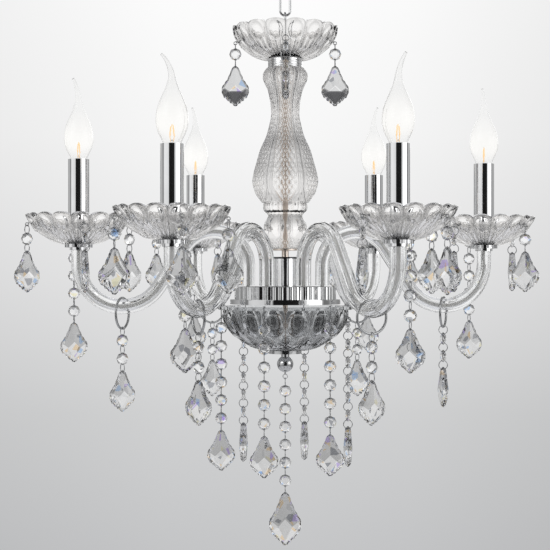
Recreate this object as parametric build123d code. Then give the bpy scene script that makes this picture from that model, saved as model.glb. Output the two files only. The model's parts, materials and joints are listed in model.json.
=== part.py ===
"""Six-arm crystal chandelier, hung from a ceiling canopy on a short chain.

Millimetres, +Z up.  The origin is on the ceiling, in the middle of the canopy, and the
stack is worked out from there downwards.
"""
from build123d import *
import os
from math import atan2, cos, degrees, hypot, pi, radians, sin, sqrt

# ------------------------------------------------------------------ clearances
seat_gap = 0.3          # round pieces that hang or slide on each other
thread_gap = 0.2        # round a rod, stem or nipple in its hole

# ------------------------------------------------------------------ ceiling fitting
canopy_radius = 55.0
canopy_depth = 32.0
canopy_wall = 1.2
canopy_rim = 3.0        # upright edge against the ceiling
bracket_length = 92.0
bracket_width = 18.0
bracket_thickness = 3.0
screw_spacing = 76.0    # between the two ceiling screws
screw_hole = 5.2
nipple_diameter = 9.5
collar_diameter = 18.0  # the loop's collar, which holds the canopy up
collar_height = 6.0

# ------------------------------------------------------------------ chain and loops
link_wire = 2.8
link_width = 14.8
link_length = 30.0
link_count = 2
ceiling_loop_width = 22.0
ceiling_loop_wire = 3.5
hanging_loop_width = 19.0
loop_stem_diameter = 8.0
loop_stem_length = 23.5
loop_base_diameter = 20.0
loop_base_height = 12.0

# ------------------------------------------------------------------ centre stack
rod_diameter = 6.0
rod_grip = 7.0          # how far the rod screws into the loop base and the finial
column_bore = 14.0
top_collar_diameter = 42.0
top_collar_height = 11.0
# radius, height above the piece's own foot
column_outline = [(31, 0), (33, 2.7), (38.5, 14.9), (40.7, 27.3), (35.5, 49.1), (30.8, 64.7),
                  (23.8, 80.3), (19.4, 95.8), (17.5, 111.5), (21, 134.8), (28, 153.6), (23, 164)]
foot_outline = [(17.5, 0), (25.3, 12.5), (26.7, 28.1), (21.9, 41.4), (26.3, 46.9), (27, 54), (25, 57)]
foot_washer_diameter = 30.0
washer_thickness = 2.0
tube_nut_diameter = 8.5
tube_nut_height = 8.0
sleeve_washer_diameter = 30.5
centre_sleeve_diameter = 26.6
centre_sleeve_height = 42.4
centre_sleeve_wall = 1.5

# ------------------------------------------------------------------ hub and bowl
arm_root_radius = 46.0
drum_radius = arm_root_radius + 16.0
drum_height = 15.6
drum_recess = 8.0       # from the drum's upper edge down to the plate that carries the arms
drum_plate = 2.0
drum_wall = 1.2
flange_radius = drum_radius + 5.3
flange_height = 5.5
bowl_rim_radius = flange_radius + 14.0
bowl_wall = 4.5
bowl_lip = 4.0          # thickness of the rim that the strands hang in
bowl_depth = 53.7
bowl_rim_gap = 2.5      # air between the hub and the bowl's rim
# radius as a share of the rim's, and height above the bowl's foot
bowl_outline = [(0.2952, 0), (0.449, 4.2), (0.6519, 14.7), (0.8118, 24.7), (0.9225, 36.7), (0.9287, 49.7)]
finial_disc_diameter = 40.0
finial_disc_height = 4.3
finial_neck_diameter = 10.0
finial_neck_height = 4.0
finial_ball_diameter = 20.0
finial_ball_sink = 1.2  # how far the neck stands in the ball
finial_stem = 2.5

# ------------------------------------------------------------------ arms
arm_azimuths = (7.0, 60.0, 119.5, 188.0, 241.0, 298.0)   # as hung: each arm turns in the hub
candle_radius = 250.0
arm_tube_diameter = 18.0
arm_bore = 7.0
arch_radius = 0.168 * candle_radius
arch_rise = 25.4        # from the hub's top up to the middle of the arch
bend_radius = 0.208 * candle_radius      # of the lower bend
bend_rise = 28.4        # from the hub's top up to the middle of the lower bend
arm_top_rise = 47.4     # from the hub's top up to the end of the arm
ferrule_diameter = 22.0
ferrule_height = 7.0
ferrule_floor = 1.5
ferrule_stem_diameter = 9.5
ferrule_stem_length = 9.0
nut_height = 4.0
lead_diameter = 4.4

# ------------------------------------------------------------------ candles
cup_diameter = 33.0
cup_height = 4.0
cup_collar_height = 3.0
cup_collar_wall = 1.4
cup_teeth = 16
holder_stem_diameter = 10.0
holder_diameter = 19.0
holder_height = 86.0
socket_bore = 14.4
socket_depth = 27.0
candle_diameter = 25.0
candle_height = 96.5
candle_wall = 0.7
bulb_cap_diameter = 13.8
bulb_cap_height = 26.0
bulb_glass_wall = 0.8
# radius, height above the top of the candle sleeve
bulb_outline = [(6.8, -10.5), (9.2, -3), (10.6, 3), (15.6, 14), (17.5, 25), (15.8, 38),
                (11.2, 50), (7.2, 59), (4.6, 67)]
bulb_tip_height = 95.0
bulb_tip_lean = 11.5
bulb_tip_radius = 1.4
bulb_tip_azimuths = (90.0, 60.0, 116.0, 244.0, 180.0, -49.0)

# ------------------------------------------------------------------ glass dishes
petal_count = 16
petal_depth = 5.0       # of the notches between the petals
dish_wall = 4.0
dish_floor = 5.0
dish_outline = [(17, 0), (26, 2), (35.6, 7), (51, 17), (58.4, 26.5), (62.7, 35)]
top_dish_outline = [(21, 0), (37, 4), (51, 13.5), (61.3, 27), (64.3, 39)]
hook_radius = 61.0      # where the drops hang, from the middle of a dish
dish_hook_height = 25.0
top_hook_height = 21.5

# ------------------------------------------------------------------ crystals and their wire
wire = 1.0
pin_wire = 1.2
pin_head_diameter = 3.2
pin_head_thickness = 0.9
pin_gap = 0.35          # between the rim and the head of the pin that hangs in it
hang_gap = 0.1          # between a wire and the ring that hangs on it
pin_reach = 11.0        # from the hanging line back to the pin's head
pin_eye_radius = 1.9    # to the middle of the wire, as for the rings
bowl_eye_radius = 3.4
bowl_pin_length = 15.2  # from the middle of the rim down to the eye
ring_radius = 5.45
small_ring_radius = 3.6
bead_width = 14.0       # across the flats
bead_thickness = 6.0
bead_edge = 1.4
bead_table = 7.8
bead_hole = 2.0
bead_hole_offset = 5.5
drop_width = 35.0
drop_height = 50.0
drop_thickness = 11.0
centre_drop_width = 41.0
centre_drop_height = 66.0
centre_drop_thickness = 13.0
drop_edge = 1.6
drop_hole_depth = 2.9   # from the top of the pendeloque down to its hole
hanger_width = 40.0     # the large rings round the arms
hanger_wire = 2.8

bowl_strand_radius = bowl_rim_radius - 2.0
bowl_strand_start = 11.5                  # azimuth of the first one
bowl_strand_beads = 6
bowl_bead_yaws = (90, 90, 90, 0, 0, 0)    # which way the beads face, from the X axis
centre_beads = 6
hanger_beads = 2
hanger_yaws = (-26, 0, 0, -26, -37, 0)    # how far each large ring stands off square
hanger_twists = (26, 0, 0, -40, 37, 0)    # how far the beads below it are turned again
long_beads = 5
long_azimuths = (99, 95, 95, 104, 81, 72)
long_twists = (90, 90, 90, 90, 90, 90)
pair_azimuths = (45, 30, 33, 15, 14, 48)
pair_twists = ((35, 35), (0, 0), (0, 0), (25, 25), (0, 0), (-28, 25))
single_azimuths = (-45, -60, -57, 285, 284, -40)
single_twists = (35, 0, 0, 0, 90, 0)

# half outline of a pendeloque: share of the half width, share of the height from the top
drop_outline = [(0.0, 0.0), (0.20, 0.05), (0.40, 0.22), (0.62, 0.39), (0.92, 0.53), (0.90, 0.70),
                (0.56, 0.84), (0.0, 1.0)]
lobe_swell = 0.10       # how far the lobes stand out, as a share of the half width
drop_table = [(0.0, 0.17), (0.36, 0.60), (0.0, 0.76), (-0.36, 0.60)]
drop_middle = 0.62      # level that the facets beside the border lean towards
border_width = 0.74     # of the inner end of the border's facets, as a share of their outer end
border_height = 0.86
border_depth = 0.33     # how far that end stands out, as a share of the thickness
upper_border = 0.38     # above this level the border runs to the table's upper corner,
lower_border = 0.83     # and below this one to its lower corner

# ------------------------------------------------------------------ levels, from the ceiling down
link_inside = link_length - 2 * link_wire
ceiling_ring = (ceiling_loop_width - ceiling_loop_wire) / 2
hanging_ring = (hanging_loop_width - link_wire) / 2
collar_bottom = -canopy_depth - collar_height
ceiling_ring_z = collar_bottom - ceiling_ring
link_z = [ceiling_ring_z - ceiling_ring + ceiling_loop_wire / 2 + seat_gap - link_inside / 2]
for number in range(1, link_count):
    link_z.append(link_z[-1] - link_inside + seat_gap)
hanging_ring_z = link_z[-1] - link_inside / 2 + seat_gap - hanging_ring + link_wire / 2
loop_base_top = hanging_ring_z - hanging_ring - loop_stem_length
top_dish_floor_z = loop_base_top - loop_base_height
top_dish_z = top_dish_floor_z - dish_floor
column_top = top_dish_z - top_collar_height
column_z = column_top - column_outline[-1][1]
foot_z = column_z - foot_outline[-1][1]
tube_nut_z = foot_z - washer_thickness - tube_nut_height
sleeve_top = tube_nut_z - washer_thickness
hub_z = sleeve_top - centre_sleeve_height + drum_recess       # upper edge of the hub's drum
plate_z = hub_z - drum_recess                                 # the plate that carries the arms
drum_bottom = hub_z - drum_height
flange_bottom = drum_bottom - flange_height
bowl_rim_z = flange_bottom - bowl_rim_gap
bowl_z = bowl_rim_z - bowl_depth
finial_neck_top = bowl_z - finial_disc_height
finial_ball_z = finial_neck_top - finial_neck_height - finial_ball_diameter / 2 + finial_ball_sink
finial_eye_z = finial_ball_z - finial_ball_diameter / 2 - finial_stem - ring_radius / 2
arm_top = hub_z + arm_top_rise
cup_top = arm_top + cup_height
candle_z = cup_top + dish_floor
candle_top = candle_z + candle_height
bend_x = candle_radius - bend_radius               # middle of the lower bend, from the axis
bend_bottom = hub_z + bend_rise - bend_radius


# ------------------------------------------------------------------ general shapes
def turned(edges):
    """Solid of revolution about Z from a closed outline drawn in X (radius) and Z."""
    return revolve(make_face(edges), Axis.Z, 360)


def at(radius, height):
    """A point of a profile."""
    return Vector(radius, 0, height)


def ring_profile(inner, outer, bottom, top):
    """Tube or washer about Z."""
    return turned(Polyline(at(inner, bottom), at(outer, bottom), at(outer, top), at(inner, top), close=True))


def inner_line(outline, wall):
    """The same line moved square to itself by the wall, towards the axis."""
    moved = []
    for index, (radius, height) in enumerate(outline):
        before = outline[max(index - 1, 0)]
        after = outline[min(index + 1, len(outline) - 1)]
        run, rise = after[0] - before[0], after[1] - before[1]
        length = hypot(run, rise)
        moved.append((radius - wall * rise / length, height + wall * run / length))
    return moved


def polar(radius, azimuth, z=0.0):
    """Location at a radius and azimuth, with its X axis pointing outwards."""
    return Pos(radius * cos(radians(azimuth)), radius * sin(radians(azimuth)), z) * Rot(0, 0, azimuth)


def faceted(facets):
    """Closed solid with flat facets, each a list of its corners."""
    return Solid(Shell([Face(Wire.make_polygon([Vector(*corner) for corner in facet])) for facet in facets]))


def save(name, solids):
    """Write one node."""
    solids = solids if isinstance(solids, list) else [solids]
    shape = solids[0] if len(solids) == 1 else Compound(children=solids)
    export_step(shape, f"parts/{name}.step")


# ------------------------------------------------------------------ wire, beads and pendeloques
def wire_ring(radius, thickness=wire):
    """A ring of wire standing in the XZ plane."""
    return Rot(90, 0, 0) * Torus(radius, thickness / 2)


def make_bead():
    """Octagon bead in the XZ plane: a small table, eight flats and two holes through it."""
    corner = bead_width / 2 / cos(pi / 8)
    table = bead_table / 2

    facet_turn = 360 / 8

    def octagon(radius, y, turn):
        angles = [radians(turn + facet_turn * k) for k in range(8)]
        return [(radius * cos(angle), y, radius * sin(angle)) for angle in angles]

    facets = []
    for side in (-1, 1):
        inner = octagon(table, side * bead_thickness / 2, 0)
        outer = octagon(corner, side * bead_edge / 2, facet_turn / 2)
        facets.append(inner)
        for k in range(8):
            following = (k + 1) % 8
            facets.append([inner[k], inner[following], outer[k]])
            facets.append([inner[following], outer[following], outer[k]])
    front = octagon(corner, -bead_edge / 2, facet_turn / 2)
    back = octagon(corner, bead_edge / 2, facet_turn / 2)
    for k in range(8):
        following = (k + 1) % 8
        facets.append([front[k], front[following], back[following], back[k]])
    bead = faceted(facets)
    for side in (-1, 1):
        bead -= Pos(0, 0, side * bead_hole_offset) * Rot(90, 0, 0) * Cylinder(bead_hole / 2, bead_thickness * 2)
    return bead


def make_pendeloque(width, height, thickness):
    """Scalloped crystal in the XZ plane, its hole at the origin and its point below."""
    half = width / 2

    def place(share, level, y, out=1.0):
        return (share * half * out, y, drop_hole_depth - level * height)

    right = drop_outline
    valleys = right + [(-share, level) for share, level in reversed(right[1:-1])]
    count = len(valleys)

    def lobe(index):
        (share_a, level_a), (share_b, level_b) = valleys[index], valleys[(index + 1) % count]
        run, rise = (share_b - share_a) * half, (level_b - level_a) * height
        length = hypot(run, rise)
        swell = lobe_swell * half * length / (length + lobe_swell * half)
        x = (share_a + share_b) / 2 * half + swell * rise / length
        z = drop_hole_depth - (level_a + level_b) / 2 * height + swell * run / length
        return x, z

    def inner(index, y):
        share, level = valleys[index]
        level = drop_middle + (level - drop_middle) * border_height
        return (share * half * border_width, y, drop_hole_depth - level * height)

    def nearest(index):
        """Which corner of the table a border corner runs to."""
        share, level = valleys[index]
        if level < upper_border:
            return 0
        if level > lower_border:
            return 2
        return 1 if share > 0 else 3

    facets = []
    rims = {}
    for side in (-1, 1):
        edge = side * drop_edge / 2
        band = side * thickness * border_depth
        table = [place(share, level, side * thickness / 2) for share, level in drop_table]
        valley = [place(share, level, edge) for share, level in valleys]
        peak = [(lobe(k)[0], edge, lobe(k)[1]) for k in range(count)]
        border = [inner(k, band) for k in range(count)]
        rims[side] = [corner for k in range(count) for corner in (valley[k], peak[k])]
        facets.append(table)
        for k in range(count):
            following = (k + 1) % count
            facets.append([valley[k], peak[k], border[k]])
            facets.append([peak[k], border[following], border[k]])
            facets.append([peak[k], valley[following], border[following]])
            here, there = nearest(k), nearest(following)
            facets.append([border[k], border[following], table[here]])
            if here != there:
                facets.append([border[following], table[there], table[here]])
    for k in range(2 * count):
        following = (k + 1) % (2 * count)
        facets.append([rims[-1][k], rims[-1][following], rims[1][following], rims[1][k]])
    return faceted(facets) - Rot(90, 0, 0) * Cylinder(bead_hole / 2, thickness * 2)


bead = make_bead()
pendeloque = make_pendeloque(drop_width, drop_height, drop_thickness)
centre_pendeloque = make_pendeloque(centre_drop_width, centre_drop_height, centre_drop_thickness)


def crystals(top, beads, crystal=pendeloque, ring=ring_radius, start_with_ring=True):
    """Beads, rings and a pendeloque below a wire at height top, facing along Y."""
    pieces = []
    level = top
    for number in range(beads):
        if number or start_with_ring:
            size = ring if number == 0 else ring_radius
            pieces.append(Pos(0, 0, level - size) * Rot(0, 0, 90) * wire_ring(size))
            level -= 2 * size
        pieces.append(Pos(0, 0, level - bead_hole_offset) * bead)
        level -= 2 * bead_hole_offset
    pieces.append(Pos(0, 0, level - ring_radius) * Rot(0, 0, 90) * wire_ring(ring_radius))
    pieces.append(Pos(0, 0, level - 2 * ring_radius) * crystal)
    return pieces


def hook_pin(turn):
    """Headed pin through a dish's wall, its eye hanging at the origin's vertical line."""
    eye = Pos(0, 0, -pin_eye_radius) * Rot(0, 0, turn) * wire_ring(pin_eye_radius)
    stem = Pos(-pin_reach / 2, 0, 0) * Rot(0, 90, 0) * Cylinder(pin_wire / 2, pin_reach)
    head = Pos(-pin_reach, 0, 0) * Rot(0, 90, 0) * Cylinder(pin_head_diameter / 2, pin_head_thickness)
    return stem + head + eye


def dish_drop(beads, twist, ring=ring_radius):
    """Everything that hangs from one hole of a dish, seen from the hole, X outwards."""
    top = -2 * pin_eye_radius + wire + hang_gap
    square = 90 * round(twist / 90)
    pieces = [hook_pin(square)]
    pieces += [Rot(0, 0, twist) * piece for piece in crystals(top, beads, ring=ring)]
    return pieces


# ------------------------------------------------------------------ ceiling fitting and chain
def make_bracket():
    bracket = Pos(0, 0, -bracket_thickness / 2) * Box(bracket_length, bracket_width, bracket_thickness)
    bracket -= Cylinder(nipple_diameter / 2 + thread_gap, 4 * bracket_thickness)
    for side in (-1, 1):
        bracket -= Pos(side * screw_spacing / 2, 0, 0) * Cylinder(screw_hole / 2, 4 * bracket_thickness)
    return bracket


def make_canopy():
    """Spun metal cup, its rim against the ceiling."""
    hole = nipple_diameter / 2 + thread_gap
    flat = collar_diameter / 2 + 3
    inside = canopy_radius - canopy_wall
    floor = -canopy_depth + canopy_wall
    outer = ThreePointArc(at(canopy_radius, -canopy_rim), at(0.70 * canopy_radius, -0.76 * canopy_depth),
                          at(flat, -canopy_depth))
    inner = ThreePointArc(at(flat, floor), at(0.70 * canopy_radius - 0.8 * canopy_wall,
                                              -0.76 * canopy_depth + 0.8 * canopy_wall),
                          at(inside, -canopy_rim))
    rim = Polyline(at(inside, -canopy_rim), at(inside, 0), at(canopy_radius, 0), at(canopy_radius, -canopy_rim))
    bottom = Polyline(at(flat, -canopy_depth), at(hole, -canopy_depth), at(hole, floor), at(flat, floor))
    return turned(rim + outer + bottom + inner)


def make_ceiling_loop():
    nipple_top = -bracket_thickness / 3
    length = canopy_depth + nipple_top
    nipple = Pos(0, 0, nipple_top - length / 2) * Cylinder(nipple_diameter / 2, length)
    collar = Pos(0, 0, collar_bottom + collar_height / 2) * Cylinder(collar_diameter / 2, collar_height)
    return nipple + collar + Pos(0, 0, ceiling_ring_z) * wire_ring(ceiling_ring, ceiling_loop_wire)


def make_link():
    """Chain link in the XZ plane."""
    bend = (link_width - link_wire) / 2
    straight = link_length - link_width
    from_middle = (Align.CENTER, Align.MIN, Align.CENTER)
    half = Pos(0, straight / 2, 0) * Torus(bend, link_wire / 2, major_angle=180, align=from_middle)
    half += Pos(bend, 0, 0) * Rot(90, 0, 0) * Cylinder(link_wire / 2, straight)
    return Rot(90, 0, 0) * (half + Rot(0, 0, 180) * half)


def make_hanging_loop():
    """Ring on a stem, screwed to the top of the rod inside the top dish."""
    ring = Pos(0, 0, hanging_ring_z) * Rot(0, 0, 90) * wire_ring(hanging_ring, link_wire)
    stem_top = hanging_ring_z - hanging_ring
    stem = Pos(0, 0, stem_top - loop_stem_length / 2) * Cylinder(loop_stem_diameter / 2, loop_stem_length)
    base = Pos(0, 0, loop_base_top - loop_base_height / 2) * Cylinder(loop_base_diameter / 2, loop_base_height)
    bore = Pos(0, 0, top_dish_floor_z) * Cylinder(rod_diameter / 2 + thread_gap, 2 * (rod_grip + 1))
    return ring + stem + base - bore


# ------------------------------------------------------------------ glass
def make_dish(outline, floor, wall, hole):
    """Pressed glass dish about Z with its foot at Z = 0 and a scalloped rim."""
    inner = inner_line(outline, wall)
    inside = [(outline[0][0], floor)] + [point for point in inner[1:] if point[1] > floor + 0.5]
    outer_curve = Spline([at(*point) for point in outline])
    inner_curve = Spline([at(*point) for point in inside])
    bottom = Polyline(at(inside[0][0], floor), at(hole, floor), at(hole, 0), at(outline[0][0], 0))
    top = Line(at(*outline[-1]), at(*inside[-1]))
    dish = turned(outer_curve + top + inner_curve + bottom)
    rim_radius, rim_height = outline[-1]
    half = pi * rim_radius / petal_count
    lobe = (half ** 2 + petal_depth ** 2) / (2 * petal_depth)
    shoulder = rim_height - lobe + sqrt(lobe ** 2 - (half / 2) ** 2)
    notch = ThreePointArc((-half, rim_height), (-half / 2, shoulder), (0, rim_height - petal_depth))
    notch += ThreePointArc((0, rim_height - petal_depth), (half / 2, shoulder), (half, rim_height))
    notch += Polyline((half, rim_height), (half, rim_height + wall), (-half, rim_height + wall),
                      (-half, rim_height))
    cutter = extrude(Plane.YZ * make_face(notch), rim_radius * 1.2)
    for k in range(petal_count):
        dish -= Rot(0, 0, (k + 0.5) * 360 / petal_count) * cutter
    return dish


def pierced(dish, azimuths, height):
    """The dish with a level hole for each hook pin."""
    for azimuth in azimuths:
        hole = Rot(0, 90, 0) * Cylinder(pin_wire / 2 + thread_gap, 2 * pin_reach)
        dish -= polar(hook_radius, azimuth, height) * hole
    return dish


def make_column(outline):
    bore = column_bore / 2
    curve = Spline([at(*point) for point in outline])
    rest = Polyline(at(*outline[-1]), at(bore, outline[-1][1]), at(bore, outline[0][1]), at(*outline[0]))
    return turned(curve + rest)


def make_bowl():
    """Deep glass bowl with a flat lip, pierced for the six strands."""
    lip_bottom = bowl_depth - bowl_lip
    outline = [(share * bowl_rim_radius, height) for share, height in bowl_outline]
    inner = inner_line(outline, bowl_wall)
    inside = [(outline[0][0], bowl_wall)] + [point for point in inner[1:-1] if point[1] > bowl_wall + 0.5]
    inside.append((outline[-1][0] - bowl_wall, lip_bottom))
    outer_curve = Spline([at(*point) for point in outline])
    inner_curve = Spline([at(*point) for point in inside])
    lip = Polyline(at(*outline[-1]), at(bowl_rim_radius, lip_bottom), at(bowl_rim_radius, bowl_depth),
                   at(inside[-1][0], bowl_depth), at(*inside[-1]))
    hole = rod_diameter / 2 + thread_gap
    bottom = Polyline(at(inside[0][0], bowl_wall), at(hole, bowl_wall), at(hole, 0), at(outline[0][0], 0))
    bowl = turned(outer_curve + lip + inner_curve + bottom)
    for k in range(6):
        bowl -= polar(bowl_strand_radius, bowl_strand_start + 60 * k, bowl_depth) * Cylinder(wire, 4 * bowl_lip)
    return bowl


# ------------------------------------------------------------------ hub
def make_drum():
    """Spun ring with a sunk plate, pierced for the arms, and a wider flange, open below."""
    inside = drum_radius - drum_wall
    hole = rod_diameter / 2 + thread_gap
    outline = Polyline(at(hole, plate_z), at(inside, plate_z), at(inside, hub_z),
                       at(drum_radius, hub_z), at(drum_radius, drum_bottom),
                       at(flange_radius, drum_bottom), at(flange_radius, flange_bottom),
                       at(flange_radius - drum_wall, flange_bottom),
                       at(flange_radius - drum_wall, drum_bottom - drum_wall),
                       at(inside, drum_bottom - drum_wall), at(inside, plate_z - drum_plate),
                       at(hole, plate_z - drum_plate), close=True)
    drum = turned(outline)
    for azimuth in arm_azimuths:
        drum -= polar(arm_root_radius, azimuth, plate_z) * Cylinder(ferrule_stem_diameter / 2 + thread_gap,
                                                                  4 * drum_plate)
    return drum


def make_rod():
    top = top_dish_floor_z + rod_grip
    bottom = finial_neck_top + finial_disc_height - rod_grip
    rod = Pos(0, 0, (top + bottom) / 2) * Cylinder(rod_diameter / 2, top - bottom)
    inner = rod_diameter / 2 + thread_gap
    washer = ring_profile(inner, foot_washer_diameter / 2, foot_z - washer_thickness, foot_z)
    nut = ring_profile(inner, tube_nut_diameter / 2, tube_nut_z, tube_nut_z + tube_nut_height)
    return [rod, washer, nut]


def make_centre_sleeve():
    """Short chrome tube on the hub, closed by a wider washer."""
    outer = centre_sleeve_diameter / 2
    tube = ring_profile(outer - centre_sleeve_wall, outer, plate_z, sleeve_top)
    washer = ring_profile(rod_diameter / 2 + thread_gap, sleeve_washer_diameter / 2, sleeve_top,
                          sleeve_top + washer_thickness)
    return [tube, washer]


def make_finial():
    """Disc that carries the bowl, neck, ball and an eye for the centre strand."""
    disc = Pos(0, 0, bowl_z - finial_disc_height / 2) * Cylinder(finial_disc_diameter / 2, finial_disc_height)
    neck_height = finial_neck_height + finial_ball_diameter / 2
    neck = Pos(0, 0, finial_neck_top - neck_height / 2) * Cylinder(finial_neck_diameter / 2, neck_height)
    ball = Pos(0, 0, finial_ball_z) * Sphere(finial_ball_diameter / 2)
    stem_height = finial_ball_diameter / 2 + finial_stem
    stem = Pos(0, 0, finial_ball_z - stem_height / 2) * Cylinder(wire, stem_height)
    eye = Pos(0, 0, finial_eye_z) * wire_ring(ring_radius / 2)
    bore = Pos(0, 0, bowl_z) * Cylinder(rod_diameter / 2 + thread_gap, 2 * (rod_grip + 1))
    return disc + neck + ball + stem + eye - bore


# ------------------------------------------------------------------ arms and candles
def arm_path(start, end):
    """Centre line in the XZ plane: up, over the arch, down a slant, round the bend and up."""
    arch_x, arch_z = arm_root_radius + arch_radius, hub_z + arch_rise
    bend_z = hub_z + bend_rise
    run, rise = bend_x - arch_x, bend_z - arch_z
    distance = hypot(run, rise)
    # the straight piece touches both circles and crosses the line between their middles
    tilt = atan2(rise, run) + atan2(sqrt(distance ** 2 - (arch_radius + bend_radius) ** 2),
                                    arch_radius + bend_radius)
    leave = at(arch_x + arch_radius * cos(tilt), arch_z + arch_radius * sin(tilt))
    meet = at(bend_x - bend_radius * cos(tilt), bend_z - bend_radius * sin(tilt))
    low = (pi + tilt + 2 * pi) / 2
    high = (pi + tilt) / 2
    arch_middle = at(arch_x + arch_radius * cos(high), arch_z + arch_radius * sin(high))
    bend_middle = at(bend_x + bend_radius * cos(low), bend_z + bend_radius * sin(low))
    return Wire([
        Line(at(arm_root_radius, start), at(arm_root_radius, arch_z)),
        ThreePointArc(at(arm_root_radius, arch_z), arch_middle, leave),
        Line(leave, meet),
        ThreePointArc(meet, bend_middle, at(candle_radius, bend_z)),
        Line(at(candle_radius, bend_z), at(candle_radius, end)),
    ])


def swept(section, start, end):
    """A section swept along the arm's centre line."""
    return sweep(Pos(arm_root_radius, 0, start) * section, arm_path(start, end))


def make_arm():
    tube = Circle(arm_tube_diameter / 2) - Circle(arm_bore / 2)
    return swept(tube, plate_z + ferrule_floor, arm_top)


def make_ferrule():
    """Socket for the arm on the hub's plate, with a threaded stem and its nut below."""
    inner, bore = arm_tube_diameter / 2 + thread_gap, lead_diameter / 2 + seat_gap
    stem = ferrule_stem_diameter / 2
    outline = Polyline(at(bore, -ferrule_stem_length), at(stem, -ferrule_stem_length), at(stem, 0),
                       at(ferrule_diameter / 2, 0), at(ferrule_diameter / 2, ferrule_height),
                       at(inner, ferrule_height), at(inner, ferrule_floor), at(bore, ferrule_floor),
                       close=True)
    nut = extrude(RegularPolygon(stem * 1.7, 6) - Circle(stem + thread_gap), nut_height)
    return [Pos(arm_root_radius, 0, plate_z) * turned(outline),
            Pos(arm_root_radius, 0, plate_z - drum_plate - nut_height) * nut]


def make_cup():
    """Toothed plate under the dish, with a low collar round the end of the arm."""
    plate = Circle(cup_diameter / 2) - Circle(holder_stem_diameter / 2 + thread_gap)
    for k in range(cup_teeth):
        plate -= polar(cup_diameter / 2, k * 360 / cup_teeth) * Circle(pi * cup_diameter / cup_teeth / 4)
    inner = arm_tube_diameter / 2 + thread_gap
    collar = ring_profile(inner, inner + cup_collar_wall, -cup_collar_height, 0)
    return Pos(candle_radius, 0, arm_top) * (extrude(plate, cup_height) + collar)


def make_lampholder():
    """Plastic holder on a hollow stem, with the socket for the bulb's cap at its top."""
    lead_hole = lead_diameter / 2 + seat_gap
    top = candle_z + holder_height
    outline = Polyline(at(lead_hole, arm_top), at(holder_stem_diameter / 2, arm_top),
                       at(holder_stem_diameter / 2, candle_z), at(holder_diameter / 2, candle_z),
                       at(holder_diameter / 2, top), at(socket_bore / 2, top),
                       at(socket_bore / 2, top - socket_depth), at(lead_hole, top - socket_depth), close=True)
    return Pos(candle_radius, 0, 0) * turned(outline)


def make_lead():
    """Two-core lead through the bore of the arm, from the hub into the holder's stem."""
    return swept(Circle(lead_diameter / 2), plate_z - ferrule_stem_length, candle_z)


def make_candle():
    return Pos(candle_radius, 0, 0) * ring_profile(candle_diameter / 2 - candle_wall, candle_diameter / 2,
                                                   candle_z, candle_top)


def make_bulb(tip_azimuth):
    """Flame bulb about Z, from the top of the candle sleeve: cap, hollow glass and a bent tip."""
    outline = bulb_outline
    inside = inner_line(outline, bulb_glass_wall)[1:-1]
    glass = Spline([at(*point) for point in outline])
    hollow = Spline([at(*point) for point in inside])
    top = Polyline(at(*outline[-1]), at(0, outline[-1][1]), at(0, inside[-1][1]), at(*inside[-1]))
    bottom = Polyline(at(*inside[0]), at(0, inside[0][1]), at(0, outline[0][1]), at(*outline[0]))
    body = turned(glass + top + hollow + bottom)
    rise = bulb_tip_height - outline[-1][1]
    sweep_angle = 2 * atan2(bulb_tip_lean, rise)
    bend = rise / sin(sweep_angle)
    sections = []
    for step in range(4):
        angle = sweep_angle * step / 3
        radius = outline[-1][0] + (bulb_tip_radius - outline[-1][0]) * (step / 3) ** 0.7
        middle = Pos(bend * (1 - cos(angle)), 0, outline[-1][1] + bend * sin(angle))
        sections.append(middle * Rot(0, degrees(angle), 0) * Circle(radius))
    tip = loft(sections)
    cap_top = outline[0][1]
    cap = Pos(0, 0, cap_top - bulb_cap_height / 2) * Cylinder(bulb_cap_diameter / 2, bulb_cap_height)
    return [Rot(0, 0, tip_azimuth) * (body + tip), cap]


# ------------------------------------------------------------------ write the nodes
os.makedirs("parts", exist_ok=True)

save("ceiling_bracket", make_bracket())
save("ceiling_canopy", make_canopy())
save("ceiling_loop", make_ceiling_loop())
for number in range(link_count):
    save(f"chain_link_{number + 1}", Pos(0, 0, link_z[number]) * Rot(0, 0, 90 - 90 * (number % 2)) * make_link())
save("hanging_loop", make_hanging_loop())

top_dish = make_dish(top_dish_outline, dish_floor, dish_wall, rod_diameter / 2 + thread_gap)
top_hooks = [90 * k for k in range(4)]
save("top_dish", Pos(0, 0, top_dish_z) * pierced(top_dish, top_hooks, top_hook_height))
save("top_collar", ring_profile(rod_diameter / 2 + thread_gap, top_collar_diameter / 2, column_top, top_dish_z))
save("glass_column", Pos(0, 0, column_z) * make_column(column_outline))
save("column_foot", Pos(0, 0, foot_z) * make_column(foot_outline))
save("centre_rod", make_rod())
save("centre_sleeve", make_centre_sleeve())
save("hub_drum", make_drum())
save("glass_bowl", Pos(0, 0, bowl_z) * make_bowl())
save("finial", make_finial())

turns = [Rot(0, 0, azimuth) for azimuth in arm_azimuths]
arm, cup, holder, lead, candle = make_arm(), make_cup(), make_lampholder(), make_lead(), make_candle()
save("glass_arms", [turn * arm for turn in turns])
save("arm_ferrules", [turn * piece for turn in turns for piece in make_ferrule()])
save("candle_cups", [turn * cup for turn in turns])
save("lampholders", [turn * piece for turn in turns for piece in (holder, lead)])
save("candle_sleeves", [turn * candle for turn in turns])

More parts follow.
